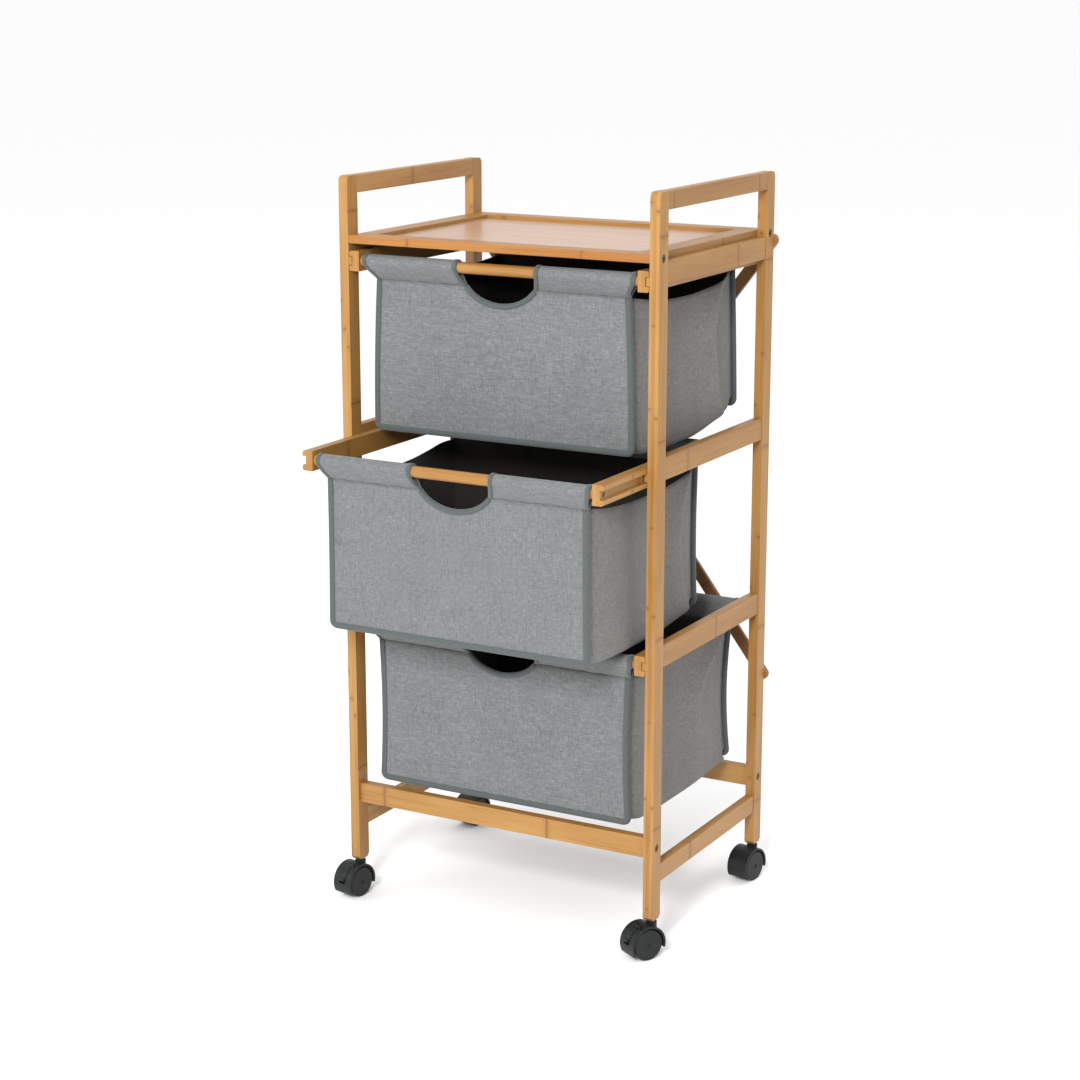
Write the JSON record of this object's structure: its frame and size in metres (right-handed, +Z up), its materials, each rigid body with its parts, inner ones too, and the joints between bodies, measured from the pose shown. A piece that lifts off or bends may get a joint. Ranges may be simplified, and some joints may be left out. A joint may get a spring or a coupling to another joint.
{
  "type": "laundry sorter",
  "caption": "Rolling laundry sorter: an open bamboo frame on swivel casters with a recessed top shelf and sliding grey fabric baskets hung on dowels.",
  "frame": {"origin": "on the floor under the middle of the bounding box, with the middle basket open as it is stored", "axes": "+X to the right seen from the front, +Y to the back, so the baskets pull out towards -Y, +Z up"},
  "size_m": [0.4662, 0.442, 0.938],
  "materials": {
    "bamboo": "clear-lacquered bamboo, long straight grain with pale nodes",
    "shelf_veneer": "satin bamboo-veneered panel, slightly pinker than the frame",
    "basket_fabric": "grey melange polyester with dark teal-grey binding and a black lining",
    "caster_plastic": "black moulded nylon, fine satin texture",
    "fastener_steel": "zinc-plated steel"
  },
  "bodies": {
    "frame": {"post_front_left": "bamboo", "post_front_right": "bamboo", "post_rear_left": "bamboo", "post_rear_right": "bamboo", "handle_rail_left": "bamboo", "handle_rail_right": "bamboo", "side_rail_left_bottom": "bamboo", "side_rail_left_middle": "bamboo", "side_rail_left_top": "bamboo", "side_rail_right_bottom": "bamboo", "side_rail_right_middle": "bamboo", "side_rail_right_top": "bamboo", "runner_strips_left": "bamboo", "runner_strips_right": "bamboo", "low_rail_left": "bamboo", "low_rail_right": "bamboo", "stretcher_front": "bamboo", "stretcher_rear": "bamboo", "shelf_panel": "shelf_veneer", "shelf_rail_front": "bamboo", "shelf_rail_rear": "bamboo", "shelf_side_left": "bamboo", "shelf_side_right": "bamboo", "brace_rising": "bamboo", "brace_falling": "bamboo", "frame_screws": "fastener_steel"},
    "drawer_bottom": {"bottom_rail_left": "bamboo", "bottom_rail_right": "bamboo", "bottom_dowel_front": "bamboo", "bottom_dowel_rear": "bamboo", "bottom_basket": "basket_fabric", "bottom_screws": "fastener_steel"},
    "drawer_middle": {"middle_rail_left": "bamboo", "middle_rail_right": "bamboo", "middle_dowel_front": "bamboo", "middle_dowel_rear": "bamboo", "middle_basket": "basket_fabric", "middle_screws": "fastener_steel"},
    "drawer_top": {"top_rail_left": "bamboo", "top_rail_right": "bamboo", "top_dowel_front": "bamboo", "top_dowel_rear": "bamboo", "top_basket": "basket_fabric", "top_screws": "fastener_steel"},
    "caster_front_left": {"caster_front_left": "caster_plastic"},
    "caster_front_right": {"caster_front_right": "caster_plastic"},
    "caster_rear_left": {"caster_rear_left": "caster_plastic"},
    "caster_rear_right": {"caster_rear_right": "caster_plastic"},
    "wheel_front_left_outer": {"wheel_front_left_outer": "caster_plastic"},
    "wheel_front_left_inner": {"wheel_front_left_inner": "caster_plastic"},
    "wheel_front_right_outer": {"wheel_front_right_outer": "caster_plastic"},
    "wheel_front_right_inner": {"wheel_front_right_inner": "caster_plastic"},
    "wheel_rear_left_outer": {"wheel_rear_left_outer": "caster_plastic"},
    "wheel_rear_left_inner": {"wheel_rear_left_inner": "caster_plastic"},
    "wheel_rear_right_outer": {"wheel_rear_right_outer": "caster_plastic"},
    "wheel_rear_right_inner": {"wheel_rear_right_inner": "caster_plastic"},
    "brake_lever_left": {"brake_lever_left": "caster_plastic"},
    "brake_lever_right": {"brake_lever_right": "caster_plastic"}
  },
  "joints": [
    {"name": "drawer_bottom_slide", "type": "slide", "parent": "frame", "child": "drawer_bottom", "axis": [0, -1, 0], "range_m": [0, 0.22]},
    {"name": "drawer_middle_slide", "type": "slide", "parent": "frame", "child": "drawer_middle", "axis": [0, -1, 0], "range_m": [-0.11, 0.11]},
    {"name": "drawer_top_slide", "type": "slide", "parent": "frame", "child": "drawer_top", "axis": [0, -1, 0], "range_m": [0, 0.22]},
    {"name": "caster_front_left_swivel", "type": "hinge", "parent": "frame", "child": "caster_front_left", "pos_m": [-0.21256, -0.1, 0.024], "axis": [0, 0, 1], "continuous": true},
    {"name": "caster_front_right_swivel", "type": "hinge", "parent": "frame", "child": "caster_front_right", "pos_m": [0.21444, -0.1, 0.024], "axis": [0, 0, 1], "continuous": true},
    {"name": "caster_rear_left_swivel", "type": "hinge", "parent": "frame", "child": "caster_rear_left", "pos_m": [-0.21256, 0.202, 0.024], "axis": [0, 0, 1], "continuous": true},
    {"name": "caster_rear_right_swivel", "type": "hinge", "parent": "frame", "child": "caster_rear_right", "pos_m": [0.21444, 0.202, 0.024], "axis": [0, 0, 1], "continuous": true},
    {"name": "wheel_front_left_outer_spin", "type": "hinge", "parent": "caster_front_left", "child": "wheel_front_left_outer", "pos_m": [-0.21465, -0.11182, 0.02], "axis": [0.9848, -0.1736, 0], "continuous": true},
    {"name": "wheel_front_left_inner_spin", "type": "hinge", "parent": "caster_front_left", "child": "wheel_front_left_inner", "pos_m": [-0.21465, -0.11182, 0.02], "axis": [0.9848, -0.1736, 0], "continuous": true},
    {"name": "wheel_front_right_outer_spin", "type": "hinge", "parent": "caster_front_right", "child": "wheel_front_right_outer", "pos_m": [0.20844, -0.11039, 0.02], "axis": [0.866, -0.5, 0], "continuous": true},
    {"name": "wheel_front_right_inner_spin", "type": "hinge", "parent": "caster_front_right", "child": "wheel_front_right_inner", "pos_m": [0.20844, -0.11039, 0.02], "axis": [0.866, -0.5, 0], "continuous": true},
    {"name": "wheel_rear_left_outer_spin", "type": "hinge", "parent": "caster_rear_left", "child": "wheel_rear_left_outer", "pos_m": [-0.21465, 0.19018, 0.02], "axis": [0.9848, -0.1736, 0], "continuous": true},
    {"name": "wheel_rear_left_inner_spin", "type": "hinge", "parent": "caster_rear_left", "child": "wheel_rear_left_inner", "pos_m": [-0.21465, 0.19018, 0.02], "axis": [0.9848, -0.1736, 0], "continuous": true},
    {"name": "wheel_rear_right_outer_spin", "type": "hinge", "parent": "caster_rear_right", "child": "wheel_rear_right_outer", "pos_m": [0.21235, 0.19018, 0.02], "axis": [0.9848, -0.1736, 0], "continuous": true},
    {"name": "wheel_rear_right_inner_spin", "type": "hinge", "parent": "caster_rear_right", "child": "wheel_rear_right_inner", "pos_m": [0.21235, 0.19018, 0.02], "axis": [0.9848, -0.1736, 0], "continuous": true},
    {"name": "brake_left", "type": "hinge", "parent": "caster_front_left", "child": "brake_lever_left", "pos_m": [-0.21605, -0.11977, 0.04218], "axis": [0.9848, -0.1736, 0], "range_deg": [0, 5]},
    {"name": "brake_right", "type": "hinge", "parent": "caster_front_right", "child": "brake_lever_right", "pos_m": [0.2044, -0.11738, 0.04218], "axis": [0.866, -0.5, 0], "range_deg": [0, 5]}
  ]
}
